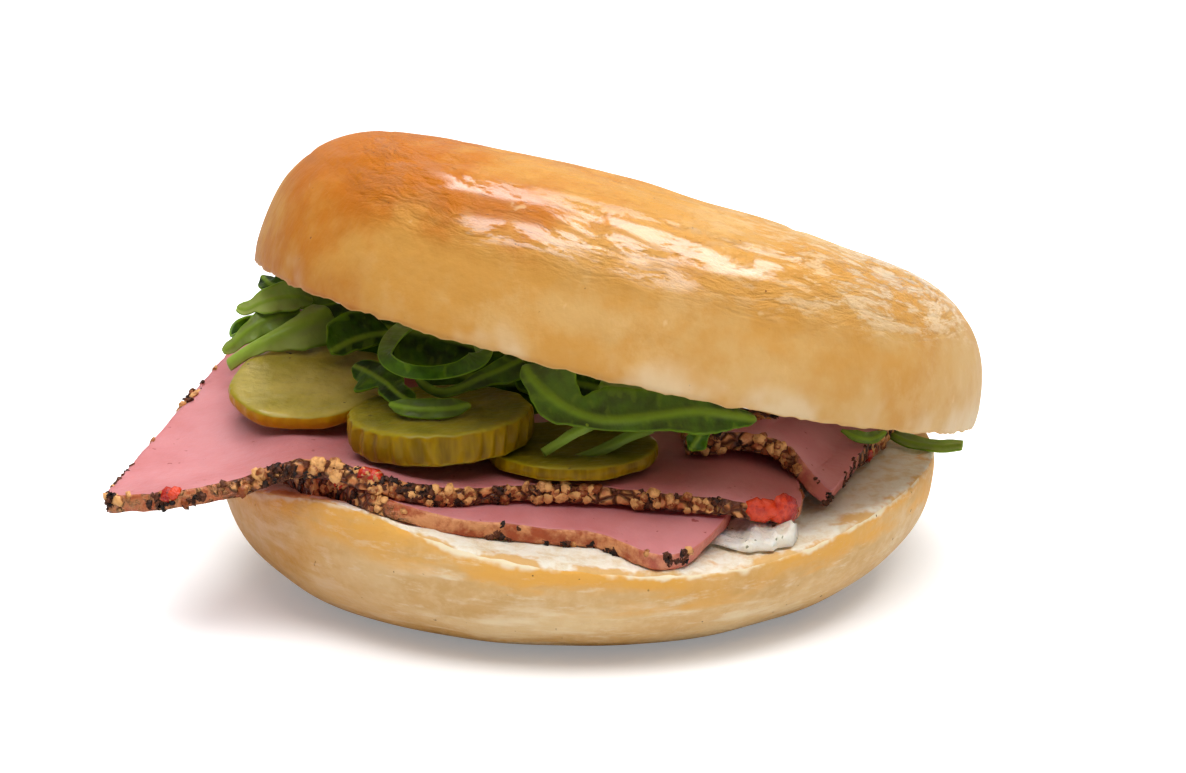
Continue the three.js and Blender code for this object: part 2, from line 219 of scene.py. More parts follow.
def waves(points, size, seed=0.0, stretch=(1, 1, 1)):
    """Smooth noise between -1 and 1 at each point, whose waves are about `size` millimetres."""
    scaled = points * np.array(stretch) / (size * MM) + seed
    return np.array([noise.noise(Vector(p)) for p in scaled])


def keep(mesh, name, values):
    """Stores one number or vector for each vertex, for the material to read."""
    kind = "FLOAT" if values.ndim == 1 else "FLOAT_VECTOR"
    field = "value" if values.ndim == 1 else "vector"
    layer = mesh.attributes.new(name, kind, "POINT")
    layer.data.foreach_set(field, values.astype(np.float32).reshape(-1))


def ease(values, low, high):
    share = np.clip((values - low) / (high - low), 0, 1)
    return share * share * (3 - 2 * share)


BAGEL_RADIUS = 57.6
MIDDLE_RADIUS = 32.8
WIDEST_HEIGHT = 19.5
HEEL_CUT = 19.3


def degrees_hump(theta, centre, tightness):
    return np.exp(tightness * (np.cos(theta - math.radians(centre)) - 1))


def heel_cut(x, y):
    """Height in millimetres of the cut through the heel."""
    theta = np.arctan2(y, x)
    share = np.minimum(np.hypot(x, y) / BAGEL_RADIUS, 1.05)
    lip = 5.2 * degrees_hump(theta, 232, 20) + 1.2 * degrees_hump(theta, 338, 12)
    low = 3.2 * degrees_hump(theta, 293, 10) + 1.4 * degrees_hump(theta, 38, 3)
    return HEEL_CUT + share ** 6 * lip - share ** 3 * low


def mark_faces(piece, is_second, crisp):
    """Gives some of a piece's faces the second material, and their border the given crispness."""
    bm = bmesh.new()
    bm.from_mesh(piece.data)
    crease = bm.edges.layers.float.new("crease_edge")
    for face in bm.faces:
        face.material_index = 1 if is_second(face) else 0
    for edge in bm.edges:
        if len({face.material_index for face in edge.link_faces}) == 2:
            edge[crease] = crisp
    bm.to_mesh(piece.data)
    bm.free()


def mark_crumb(piece, height_over_cut, crisp):
    """Makes the faces of the knife's cut crumb."""
    mark_faces(piece, lambda face: all(abs(height_over_cut(v.co)) < 0.05 for v in face.verts), crisp)


def ring_places(points, centre, turn, widest):
    """Where each point lies on the ring: angle round it, angle round its section, and (x, y, z) in mm."""
    local = (points - np.array(centre)) / MM @ np.array(turn.to_3x3())
    theta = np.arctan2(local[:, 1], local[:, 0])
    radius = np.hypot(local[:, 0], local[:, 1])
    section = np.arctan2(local[:, 2] - widest, radius - MIDDLE_RADIUS)
    return theta, section, local


def sides_of_cut(mesh):
    """Which vertices are on the crust, and which on the crumb; those of the edge between are on both."""
    crust = np.zeros(len(mesh.vertices), bool)
    crumb = np.zeros(len(mesh.vertices), bool)
    for polygon in mesh.polygons:
        (crumb if polygon.material_index == 1 else crust)[list(polygon.vertices)] = True
    return crust, crumb


def bake_ring(piece, centre, turn, widest, over_cut, seed, folds, ragged, hollow):
    """Swells, dents and tears the smooth half bagel, and notes where each point is for its finish."""
    mesh = piece.data
    points = places(mesh)
    theta, section, local = ring_places(points, centre, turn, widest)
    over = over_cut(local)
    crust, crumb = sides_of_cut(mesh)
    radius = np.hypot(local[:, 0], local[:, 1])
    rim = crust & crumb & (radius > MIDDLE_RADIUS)
    order = np.argsort(theta[rim])
    inside = np.interp(theta, theta[rim][order], radius[rim][order], period=math.tau) - radius
    from_cut = np.where(crust, np.maximum(over, 0), -inside)
    round_ring = np.stack([
        MIDDLE_RADIUS * np.cos(theta), MIDDLE_RADIUS * np.sin(theta), section * 24,
    ], axis=1)
    normals = outwards(mesh)
    away = np.abs(over)
    push = 0.28 * ease(away, 0.0, 3.0) * crust
    dents = 0.5 * waves(points, 30, seed) + 0.3 * waves(points, 12, seed + 7)
    push += dents * ease(away, 0.5, 6.0) * crust
    along = waves(round_ring * MM, 9, seed + 2, (0.35, 0.35, 1.1))
    push -= folds * np.maximum(0.16 - np.abs(along), 0) / 0.16 * ease(away, 13.0, 18.0) * crust
    tufts = 0.25 * waves(points, 1.5, seed + 3) + 0.4 * waves(points, 3.2, seed + 3)
    tufts += 0.45 * waves(points, 7, seed + 5)
    push += (tufts * ease(-from_cut, 0.0, 3.0) - hollow * ease(-from_cut, 0.0, 1.5)) * (crumb & ~crust)
    points += normals * (push * MM)[:, None]
    torn = ragged * (0.4 * waves(points, 3.2, seed + 4) + 0.5 * waves(points, 1.3, seed + 6))
    across = np.array(turn.to_3x3() @ Vector((0, 0, 1)))
    by_rim = np.where(crust, ease(-away, -1.6, 0.0), ease(from_cut, -3.0, 0.0))
    points += across * (torn * by_rim * MM)[:, None]
    points[:, 2] = np.maximum(points[:, 2], HEEL_CENTRE.z)
    set_places(mesh, points)
    keep(mesh, "ring", round_ring / 10)
    keep(mesh, "over", over)
    keep(mesh, "from_cut", from_cut)


heel = copied("bagel_heel", "heel_bread")
UPRIGHT = Matrix.Identity(4)


def over_heel_cut(local):
    return heel_cut(local[..., 0], local[..., 1]) - local[..., 2]


mark_crumb(heel, lambda co: over_heel_cut(np.array((co - HEEL_CENTRE) / MM)), 0.35)
finer(heel, 3)
bake_ring(heel, HEEL_CENTRE, UPRIGHT, WIDEST_HEIGHT, over_heel_cut,
          seed=11.0, folds=0.0, ragged=0.5, hollow=0.0)
keep(heel.data, "baked", ease((HEEL_CENTRE.x - places(heel.data)[:, 0]) / MM, 16.0, 46.0))


def attribute(tree, name, output="Fac"):
    return put(tree, "Attribute", attribute_name=name).outputs[output]


def object_place(tree):
    return put(tree, "TexCoord").outputs["Object"]


def new_group(name, inputs, output, kind):
    """A node group with named sockets: the group, what it is given, and the socket of its result."""
    group = bpy.data.node_groups.new(name, "ShaderNodeTree")
    for title, input_kind in inputs:
        group.interface.new_socket(title, in_out="INPUT", socket_type="NodeSocket" + input_kind)
    group.interface.new_socket(output, in_out="OUTPUT", socket_type="NodeSocket" + kind)
    given = group.nodes.new("NodeGroupInput").outputs
    return group, given, group.nodes.new("NodeGroupOutput").inputs[output]


# Grain is used by every finish of the sandwich: noise from 0 to 1, with waves about `Size` long.
grain_group, given, result = new_group("grain", (
    ("Place", "Vector"), ("Size", "Float"), ("Detail", "Float"), ("Roughness", "Float"),
    ("Stretch", "Vector"), ("Offset", "Vector"),
), "Grain", "Float")
mapped = put(grain_group, "Mapping", {
    "Vector": given["Place"], "Scale": given["Stretch"], "Location": given["Offset"],
})
per_wave = put(grain_group, "Math", {0: 1.0, 1: given["Size"]}, operation="DIVIDE").outputs["Value"]
texture = put(grain_group, "TexNoise", {
    "Vector": mapped.outputs["Vector"], "Scale": per_wave, "Detail": given["Detail"],
    "Roughness": given["Roughness"],
})
grain_group.links.new(texture.outputs["Fac"], result)


def grain(tree, vector, size, detail=3.0, roughness=0.55, stretch=(1, 1, 1), offset=(0, 0, 0)):
    return put(tree, "Group", {
        "Place": vector, "Size": size, "Detail": detail, "Roughness": roughness, "Stretch": stretch,
        "Offset": offset,
    }, node_tree=grain_group).outputs["Grain"]


def between(tree, value, low, high, to_low=0.0, to_high=1.0):
    """Maps a value from one range to another, held at the ends."""
    node = put(tree, "MapRange", {
        "Value": value, "From Min": low, "From Max": high, "To Min": to_low, "To Max": to_high,
    }, interpolation_type="SMOOTHSTEP")
    return node.outputs["Result"]


def sums(tree, operation, a, b):
    return put(tree, "Math", {0: a, 1: b}, operation=operation).outputs["Value"]


# Specks are the pores of the bread, the herbs in the cheese and the seeds in the pickle: 1 on a speck.
speck_group, given, result = new_group("specks", (
    ("Place", "Vector"), ("Size", "Float"), ("Rarity", "Float"), ("Offset", "Vector"),
), "Specks", "Float")
spots = grain(speck_group, given["Place"], given["Size"], 2, 0.5, offset=given["Offset"])
full = sums(speck_group, "ADD", given["Rarity"], 0.05)
speck_group.links.new(between(speck_group, spots, given["Rarity"], full), result)


def specks(tree, vector, size, rarity, offset=(0, 0, 0)):
    return put(tree, "Group", {
        "Place": vector, "Size": size, "Rarity": rarity, "Offset": offset,
    }, node_tree=speck_group).outputs["Specks"]


# Cracks and creases wander: their place is pushed about by soft noise, by up to `Amount`.
wander_group, given, result = new_group("wander", (
    ("Place", "Vector"), ("Scale", "Float"), ("Amount", "Vector"),
), "Bent", "Vector")
pushed = put(wander_group, "TexNoise", {"Vector": given["Place"], "Scale": given["Scale"], "Detail": 2})
pushed = put(wander_group, "VectorMath", {
    0: pushed.outputs["Color"], 1: given["Amount"],
}, operation="MULTIPLY")
pushed = put(wander_group, "VectorMath", {0: given["Place"], 1: pushed.outputs["Vector"]}, operation="ADD")
wander_group.links.new(pushed.outputs["Vector"], result)


def wander(tree, vector, scale, amount):
    return put(tree, "Group", {
        "Place": vector, "Scale": scale, "Amount": amount,
    }, node_tree=wander_group).outputs["Bent"]


def srgb(red, green, blue):
    """A colour from 0-255 screen values."""
    def linear(value):
        value /= 255
        return value / 12.92 if value <= 0.04045 else ((value + 0.055) / 1.055) ** 2.4
    return linear(red), linear(green), linear(blue), 1


def blend(tree, share, a, b):
    """Mixes two colours."""
    node = put(tree, "Mix", data_type="RGBA")
    for key, value in (("Factor_Float", share), ("A_Color", a), ("B_Color", b)):
        socket = next(s for s in node.inputs if s.identifier == key)
        if isinstance(value, bpy.types.NodeSocket):
            tree.links.new(value, socket)
        else:
            socket.default_value = value
    return next(s for s in node.outputs if s.identifier == "Result_Color")


def relief(tree, height, distance, strength=1.0, under=None):
    inputs = {"Height": height, "Distance": distance, "Strength": strength}
    if under is not None:
        inputs["Normal"] = under
    return put(tree, "Bump", inputs).outputs["Normal"]


def join(tree, shader, **outputs):
    for key, value in outputs.items():
        tree.links.new(value, shader.inputs[key.replace("_", " ")])


crust, tree, shader = new_material(
    "heel_crust", Roughness=0.5, Subsurface_Weight=0.08, Specular_IOR_Level=0.18,
    Subsurface_Radius=(4, 2, 1),
)
place = object_place(tree)
ring = attribute(tree, "ring", "Vector")
over = attribute(tree, "over")
broad = grain(tree, place, 0.018, 2)
fine = grain(tree, place, 0.0022, 5)
streaks = grain(tree, ring, 0.6, 5, 0.55, stretch=(0.6, 0.6, 1.5))
patches = grain(tree, ring, 1.0, 5, 0.55, stretch=(0.7, 0.7, 1.3), offset=(3, 1, 2))
colour = blend(tree, between(tree, broad, 0.35, 0.65), srgb(214, 166, 98), srgb(228, 186, 126))
pale = sums(tree, "MULTIPLY", between(tree, patches, 0.42, 0.62), between(tree, over, 3.0, 9.0, 0.2, 1.0))
colour = blend(tree, sums(tree, "MULTIPLY", pale, 0.7), colour, srgb(242, 214, 164))
mealy = grain(tree, place, 0.0018, 4, 0.6)
colour = blend(tree, between(tree, mealy, 0.4, 0.7, 0.0, 0.3), colour, srgb(250, 224, 176))
colour = blend(tree, between(tree, streaks, 0.52, 0.68, 0.0, 0.6), colour, srgb(252, 234, 198))
band = sums(tree, "ADD", over, between(tree, patches, 0.3, 0.7, 3.0, -4.0))
gold = sums(tree, "MULTIPLY", between(tree, band, 6.0, 1.5), between(tree, broad, 0.3, 0.55, 0.2, 1.0))
colour = blend(tree, gold, colour, srgb(240, 178, 84))
edge = sums(tree, "ADD", over, between(tree, grain(tree, place, 0.006, 3), 0.3, 0.7, -0.8, 0.8))
colour = blend(tree, between(tree, edge, 1.0, 0.1), colour, srgb(250, 232, 196))
pores = specks(tree, place, 0.0014, 0.74, (0.2, 0.7, 0.1))
colour = blend(tree, pores, colour, srgb(138, 88, 44))
flecks = grain(tree, ring, 0.28, 8, 0.7, stretch=(0.6, 0.6, 1.4), offset=(8, 3, 5))
colour = blend(tree, between(tree, flecks, 0.55, 0.66, 0.0, 0.35), colour, srgb(254, 238, 206))
colour = blend(tree, between(tree, over, 10.0, 22.0, 0.0, 0.45), colour, srgb(210, 146, 62))
browner = sums(tree, "MULTIPLY", attribute(tree, "baked"), between(tree, broad, 0.25, 0.7, 0.55, 0.3))
colour = blend(tree, browner, colour, srgb(208, 142, 52))
bumps = relief(tree, grain(tree, place, 0.005, 4, 0.6), 0.001, 0.5, relief(tree, fine, 0.0006, 0.6))
join(tree, shader, Base_Color=colour, Normal=relief(tree, streaks, 0.0012, 0.5, bumps))

crumb, tree, shader = new_material(
    "crumb", Roughness=0.9, Subsurface_Weight=0.2, Specular_IOR_Level=0.2,
    Subsurface_Radius=(5, 4, 3),
)
place = object_place(tree)
pores = grain(tree, place, 0.0026, 6, 0.6)
colour = blend(tree, between(tree, pores, 0.3, 0.6), srgb(236, 214, 178), srgb(252, 243, 226))
uneven = between(tree, grain(tree, place, 0.008, 4), 0.35, 0.65, -3.0, 3.0)
toasted = sums(tree, "ADD", attribute(tree, "from_cut"), uneven)
colour = blend(tree, between(tree, toasted, -2.4, 0.4, 0.0, 0.9), colour, srgb(228, 176, 100))
join(tree, shader, Base_Color=colour, Normal=relief(tree, pores, 0.0014, 0.7))

dress(heel, "root", "bagel_heel", (crust, crumb))

# ---------------------------------------------------------------- soft cheese
# A cream cheese, spread on the heel with a knife: glossy and off-white, with ridges where the knife went.
cheese = finer(copied("spread", "cheese"), 3)
points = places(cheese.data)
rise = outwards(cheese.data)[:, 2] > 0.2
swirls = 0.4 * waves(points, 6, 2.0) + 0.2 * waves(points, 2.5, 5.0)
points[:, 2] += swirls * rise * MM
from_heel = (points - np.array(HEEL_CENTRE)) / MM
reach = np.hypot(from_heel[:, 0], from_heel[:, 1])
angle = np.arctan2(from_heel[:, 1], from_heel[:, 0])
wider = 1 + ease(reach, 42, 50) * 0.14 * degrees_hump(angle, 302, 50)
wider += ease(reach, 42, 50) * (0.06 * waves(points, 5, 5.0) + 0.04 * waves(points, 2.2, 1.0))
before = heel_cut(from_heel[:, 0], from_heel[:, 1])
from_heel[:, :2] *= wider[:, None]
points[:, :2] = np.array(HEEL_CENTRE)[:2] + from_heel[:, :2] * MM
points[:, 2] += (heel_cut(from_heel[:, 0], from_heel[:, 1]) - before) * MM
squeezed = ease(reach, 42, 48) * degrees_hump(angle, 305, 50)
lumps = 1.2 + 2.4 * waves(points, 4, 8.0) + 1.6 * waves(points, 1.8, 3.0)
edge = 49.5 + 4.5 * degrees_hump(angle, 303, 40) + 1.2 * np.sin(5 * angle + 1)
thinned = ease(reach, edge - 4, edge)
points[:, 2] += rise * (squeezed * lumps * (1 - thinned) - 1.0 * thinned) * MM
points[:, 2] -= 1.0 * thinned * degrees_hump(angle, 305, 8) * MM
set_places(cheese.data, points)

cream, tree, shader = new_material(
    "soft_cheese", Roughness=0.3, Subsurface_Weight=0.4, Coat_Weight=0.3,
    Subsurface_Radius=(4, 3, 2),
)
place = object_place(tree)
lumps = grain(tree, place, 0.0025, 4)
colour = blend(tree, between(tree, lumps, 0.3, 0.7), srgb(255, 241, 218), srgb(255, 251, 238))
colour = blend(tree, specks(tree, place, 0.0018, 0.64, (0.3, 0.1, 0.2)), colour, srgb(150, 146, 116))
join(tree, shader, Base_Color=colour, Normal=relief(tree, lumps, 0.002, 0.8))
dress(cheese, "root", "spread", (cream,))

# ---------------------------------------------------------------- pastrami
# Four slices cut across a cured and steamed brisket: smooth pink meat 2.4 mm thick, with a rim where the
# spice rub was. The rub itself, cracked coriander, black pepper and red pepper, is set on that rim.
MEAT = 2.4

meat, tree, shader = new_material(
    "pink_meat", Roughness=0.42, Subsurface_Weight=0.25, Specular_IOR_Level=0.3, Coat_Weight=0.04,
    Subsurface_Radius=(4, 1.5, 1), Coat_Roughness=0.2,
)
place = object_place(tree)
cloudy = grain(tree, place, 0.012, 4)
close = grain(tree, place, 0.0014, 3)
colour = blend(tree, between(tree, cloudy, 0.3, 0.7), srgb(198, 117, 118), srgb(210, 137, 140))
colour = blend(tree, specks(tree, place, 0.0016, 0.7), colour, srgb(170, 84, 84))
join(tree, shader, Base_Color=colour, Normal=relief(tree, close, 0.0004, 0.4))

rub, tree, shader = new_material("spiced_rim", Roughness=0.4, Specular_IOR_Level=0.4)
place = object_place(tree)
bent = wander(tree, place, 400, (0.0014, 0.0014, 0.0014))
cracked = put(tree, "TexVoronoi", {"Vector": bent, "Scale": 560}, feature="DISTANCE_TO_EDGE")
kernels = between(tree, cracked.outputs["Distance"], 0.0, 0.25)
bits = grain(tree, place, 0.0022, 4, 0.6)
dark = grain(tree, place, 0.0024, 3, 0.6, offset=(0.2, 0.4, 0.1))
plain = blend(tree, between(tree, bits, 0.35, 0.65), srgb(170, 78, 40), srgb(222, 152, 100))
plain = blend(tree, attribute(tree, "fresh"), plain, srgb(206, 112, 106))
spiced = blend(tree, between(tree, bits, 0.35, 0.65), srgb(182, 96, 50), srgb(228, 164, 100))
spiced = blend(tree, kernels, srgb(98, 42, 12), spiced)
spiced = blend(tree, between(tree, dark, 0.6, 0.66), spiced, srgb(62, 30, 18))
rubbed = sums(tree, "ADD", attribute(tree, "rubbed"), between(tree, bits, 0.3, 0.7, -0.25, 0.25))
rubbed = between(tree, rubbed, 0.3, 0.7)
colour = blend(tree, rubbed, plain, spiced)
height = sums(tree, "MULTIPLY", kernels, rubbed)
bumps = relief(tree, bits, 0.001, 0.7)
join(tree, shader, Base_Color=colour, Normal=relief(tree, height, 0.0011, 1.0, bumps))


def on_narrow_side(face):
    """Whether a face is one of the narrow ones round a slice."""
    short = [edge for edge in face.edges if abs(edge.calc_length() / MM - MEAT) < 0.6]
    return len(short) >= 2 and min(edge.calc_length() for edge in face.edges) < 3.0 * MM


def rubbed_share(node, x):
    """How thick the rub lies on each part of a slice's rim, from 0 to 1."""
    if node == "pastrami_lower":
        return 0.75 * (1 - ease(x, -32, -22)) + 0.1
    if node == "pastrami_upper":
        return (0.35 + 0.65 * ease(x, -56, -42)) * (1 - 0.8 * ease(x, 25, 27))
    if node == "pastrami_folded":
        return 1 - 0.95 * ease(x, 31, 36) * (1 - ease(x, 42, 44.5))
    return np.ones(len(x))


def fresh_share(node, x):
    """How far a slice's rim is bare pink meat, from 0 to 1."""
    if node == "pastrami_lower":
        return 0.75 * ease(x, 6, 20)
    if node == "pastrami_folded":
        return 0.9 * ease(x, 32, 37) * (1 - ease(x, 42, 44.5))
    return np.zeros(len(x))


slices = {}
for node, name in (("pastrami_lower", "meat_lower"), ("pastrami_upper", "meat_upper"),
                   ("pastrami_folded", "meat_folded"), ("pastrami_doubled", "meat_doubled")):
    piece = copied(node, name)
    mark_faces(piece, on_narrow_side, 0.55)
    finer(piece, 3)
    points = places(piece.data)
    rim_side = sides_of_cut(piece.data)[1]
    crusty = 0.3 + 0.35 * waves(points, 2.6, 6.0) + 0.2 * waves(points, 1.2, 8.0)
    from_heel = (points - np.array(HEEL_CENTRE)) / MM
    rubbed = rubbed_share(node, from_heel[:, 0])
    push = 0.12 * waves(points, 5, 1.0) + crusty * rim_side * (0.3 + 0.7 * rubbed)
    points += outwards(piece.data) * (push * MM)[:, None]
    set_places(piece.data, points)
    keep(piece.data, "rubbed", rubbed)
    keep(piece.data, "fresh", fresh_share(node, from_heel[:, 0]))
    dress(piece, "root", node, (meat, rub))
    slices[node] = piece


def rim_spots(piece, spacing, chance):
    """Places on a slice's rim, evenly thinned out: (place, outward direction) pairs."""
    spots = []
    for polygon in piece.data.polygons:
        if polygon.material_index != 1 or chance.random() > polygon.area / (spacing * MM) ** 2:
            continue
        spots.append((polygon.center.copy(), polygon.normal.copy()))
    return spots


def scattered(name, spots, sizes, finish, chance, flat=0.8, rough=0.12):
    """One piece made of a cracked grain at every spot, each with its own tone from 0 to 1."""
    template = bmesh.new()
    bmesh.ops.create_uvsphere(template, u_segments=7, v_segments=5, radius=0.5)
    one = bpy.data.meshes.new(name + "_one")
    template.to_mesh(one)
    template.free()
    bm = bmesh.new()
    tone_layer = bm.verts.layers.float.new("tone")
    for centre, normal in spots:
        size = chance.uniform(*sizes) * MM
        tone = chance.random()
        turn = normal.to_track_quat("Z", "Y").to_matrix().to_4x4()
        turn = turn @ Matrix.Rotation(chance.uniform(0, math.tau), 4, "Z")
        shape = Matrix.Diagonal((
            chance.uniform(0.85, 1.35), chance.uniform(0.7, 1.0), flat * chance.uniform(0.8, 1.1), 1,
        ))
        place = Matrix.Translation(centre - normal * size * 0.1) @ turn @ shape @ Matrix.Scale(size, 4)
        bm.from_mesh(one)
        bm.verts.ensure_lookup_table()
        for vert in bm.verts[-len(one.vertices):]:
            vert[tone_layer] = tone
            vert.co = place @ vert.co + Vector([chance.uniform(-rough, rough) * size for _ in range(3)])
    bpy.data.meshes.remove(one)
    piece = new_piece(name, bm)
    piece.data.shade_smooth()
    dress(piece, "root", finishes=(finish,))


def spice_material(name, dark_colour, light_colour, roughness, gloss):
    made, tree, shader = new_material(name, Roughness=roughness, Specular_IOR_Level=gloss)
    place = object_place(tree)
    mottle = between(tree, grain(tree, place, 0.0011, 3), 0.3, 0.7, -0.4, 0.4)
    tone = sums(tree, "ADD", attribute(tree, "tone"), mottle)
    join(tree, shader, Base_Color=blend(tree, between(tree, tone, 0.0, 1.0), dark_colour, light_colour))
    join(tree, shader, Normal=relief(tree, grain(tree, place, 0.0005, 3), 0.0004, 0.7))
    return made


coriander = spice_material("coriander", srgb(142, 68, 28), srgb(236, 174, 106), 0.34, 0.3)
pepper = spice_material("black_pepper", srgb(30, 16, 10), srgb(104, 56, 32), 0.5, 0.3)
chilli = spice_material("red_pepper", srgb(166, 14, 4), srgb(222, 62, 18), 0.2, 0.5)


def on_rim(piece, x, y):
    """The place on a slice's rim nearest to a point of the plan, with its outward direction."""
    rim = [polygon for polygon in piece.data.polygons if polygon.material_index == 1]
    goal = at(x, y, 0).xy
    nearest = min(rim, key=lambda polygon: (polygon.center.xy - goal).length)
    return nearest.center.copy(), nearest.normal.copy()


# Pepper clings to the front of the rim in clumps; the higher the limit, the barer that slice.
PEPPER_LIMIT = {
    "pastrami_upper": 0.02, "pastrami_lower": 0.14, "pastrami_folded": 0.14, "pastrami_doubled": 0.3,
}
# Where flakes of red pepper stuck, roughly, across and away, in millimetres.
RED_FLAKES = (("pastrami_upper", -60, -45), ("pastrami_upper", -30, -45), ("pastrami_upper", -60, -10),
              ("pastrami_lower", -35, -40), ("pastrami_folded", 45, -15))

chance = random.Random(4)
tan_spots, black_spots, red_spots = [], [], []
for node, piece in slices.items():
    for spot in rim_spots(piece, 1.25, chance):
        x = ((spot[0] - HEEL_CENTRE) / MM).x
        thick = noise.noise(spot[0] / (7 * MM)) > -0.12
        share = float(rubbed_share(node, np.array([x]))[0])
        thick = thick and chance.random() < share ** 1.5
        if thick:
            tan_spots.append(spot)
    for spot in rim_spots(piece, 0.6, chance):
        clump = noise.noise(spot[0] / (5 * MM)) > PEPPER_LIMIT[node]
        if clump and spot[0].y < HEEL_CENTRE.y and noise.noise(spot[0] / (1.8 * MM)) > 0.0:
            black_spots.append(spot)
for node, x, y in RED_FLAKES:
    red_spots += [on_rim(slices[node], x, y), on_rim(slices[node], x + 1, y)]
# The rub on the back left edge of the upper slice stands over it.
for share in np.linspace(0, 1, 56):
    place = on_rim(slices["pastrami_upper"], -60 + 5 * share, -10 + 10 * share)[0]
    place += Vector([chance.uniform(-0.7, 0.7) * MM for _ in range(3)])
    kind = chance.choice((tan_spots, tan_spots, black_spots, black_spots, black_spots))
    if noise.noise(place / (3 * MM)) > -0.35:
        kind.append((place, Vector((-0.5, 0.1, 0.85))))
scattered("coriander_bits", tan_spots, (1.0, 2.2), coriander, chance, flat=0.62, rough=0.1)
scattered("pepper_bits", black_spots, (0.5, 1.3), pepper, chance, flat=0.6, rough=0.22)
scattered("chilli_bits", red_spots, (2.0, 3.2), chilli, chance, flat=0.55, rough=0.07)
wedge = [on_rim(slices["pastrami_upper"], x, -45) for x in range(27, 35, 2)]
scattered("chilli_wedge", wedge, (3.8, 4.4), chilli, chance, flat=0.5, rough=0.05)

# ---------------------------------------------------------------- pickles
# Three round slices of gherkin: wet, yellow-green flesh that lets light in, and a darker ridged skin.
pickle_flesh, tree, shader = new_material(
    "pickle_flesh", Roughness=0.3, Subsurface_Weight=0.5, Specular_IOR_Level=0.12, Coat_Weight=0.2,
    Subsurface_Radius=(6, 5, 1), Coat_Roughness=0.12,
)
place = object_place(tree)
out = attribute(tree, "out")
round_it = attribute(tree, "round", "Vector")
cloudy = grain(tree, place, 0.007, 4)
stripes = grain(tree, round_it, 1.0, 3, 0.6, stretch=(0.5, 0.08, 0))
colour = blend(tree, between(tree, cloudy, 0.3, 0.7), srgb(104, 98, 8), srgb(136, 122, 28))
pulp = blend(tree, between(tree, cloudy, 0.3, 0.7), srgb(150, 134, 44), srgb(184, 164, 80))
# Painted light: pale gives the left slice, where the light falls, a paler pulp, and keeps the middle and
# right slices, in the crown's shade, darker.
colour = blend(tree, attribute(tree, "pale"), colour, pulp)
colour = blend(tree, specks(tree, place, 0.0018, 0.7, (0.4, 0.1, 0.3)), colour, srgb(74, 62, 12))
colour = blend(tree, between(tree, out, 0.86, 0.98), colour, srgb(146, 130, 14))
skin_tone = blend(tree, between(tree, stripes, 0.32, 0.68), srgb(112, 86, 0), srgb(150, 120, 0))
# Painted light: the left slice's skin is lit paler in the same way.
skin_tone = blend(tree, sums(tree, "MULTIPLY", attribute(tree, "pale"), 0.7), skin_tone, srgb(184, 136, 12))
colour = blend(tree, between(tree, attribute(tree, "skin"), 0.35, 0.75), colour, skin_tone)
bumps = relief(tree, grain(tree, place, 0.0013, 3), 0.0003, 0.4)
bumps = relief(tree, grain(tree, place, 0.004, 2), 0.0012, 0.5, bumps)
wet = between(tree, attribute(tree, "skin"), 0.35, 0.75, 0.3, 0.03)
join(tree, shader, Base_Color=colour, Coat_Weight=wet, Normal=bumps)

RIBS = 29
# The last number of each slice is painted light: 1 for the lit left slice, about 0 for the two in the
# crown's shade.
for node, name, ridges, pale in (("pickle_middle", "gherkin_middle", 0.28, 0.1),
                                 ("pickle_right", "gherkin_right", 0.08, 0.0),
                                 ("pickle_left", "gherkin_left", 0.1, 1.0)):
    piece = copied(node, name)
    bm = bmesh.new()
    bm.from_mesh(piece.data)
    crease = bm.edges.layers.float.new("crease_edge")
    for edge in bm.edges:
        if edge.calc_face_angle(0) > math.radians(60):
            edge[crease] = 0.45
    bm.to_mesh(piece.data)
    bm.free()
    finer(piece, 3)
    points = places(piece.data)
    normals = outwards(piece.data)
    middle = points.mean(axis=0)
    flat = np.linalg.svd(points - middle, full_matrices=False)[2]
    spread_out = (points - middle) @ flat.T / MM
    angle = np.arctan2(spread_out[:, 1], spread_out[:, 0])
    reach = np.hypot(spread_out[:, 0], spread_out[:, 1])
    side = 1 - np.abs(normals @ flat[2])
    ribbed = np.sin(angle * RIBS + 4.0 * waves(points, 7, 4.0)) * ease(side, 0.5, 0.9)
    push = ridges * ribbed + 0.18 * waves(points, 4.5, 3.0)
    points += normals * (push * MM)[:, None]
    set_places(piece.data, points)
    keep(piece.data, "skin", side)
    keep(piece.data, "pale", np.full(len(points), pale))
    keep(piece.data, "out", reach / reach.max())
    keep(piece.data, "round", np.stack([angle * 12, spread_out[:, 2], reach], axis=1))
    dress(piece, "root", node, (pickle_flesh,))

# ---------------------------------------------------------------- rocket
# Leaves of rocket pushed in by hand under the crown: soft lobed blades 0.32 mm thick, dark green over a
# paler back, each on a thick pale midrib.
FACING = Vector((0, -0.956, 0.292))

leaf_green, tree, shader = new_material(
    "rocket_leaf", Roughness=0.4, Subsurface_Weight=0.25, Specular_IOR_Level=0.08,
    Coat_Weight=0.14, Subsurface_Radius=(1, 1.6, 0.4), Coat_Roughness=0.16,
)
place = object_place(tree)
cloudy = grain(tree, place, 0.0045, 4)
veins = grain(tree, attribute(tree, "blade", "Vector"), 1.0, 2, 0.4, stretch=(0.5, 0.35, 0))
colour = blend(tree, between(tree, cloudy, 0.3, 0.7), srgb(20, 40, 0), srgb(62, 98, 0))
colour = blend(tree, between(tree, veins, 0.56, 0.66, 0.0, 0.25), colour, srgb(118, 146, 24))
# Partly painted light: pale is the real paleness of stems and midribs, but the leaves at the left are given
# high values because the light falls on them.
colour = blend(tree, attribute(tree, "pale"), colour, srgb(188, 204, 108))
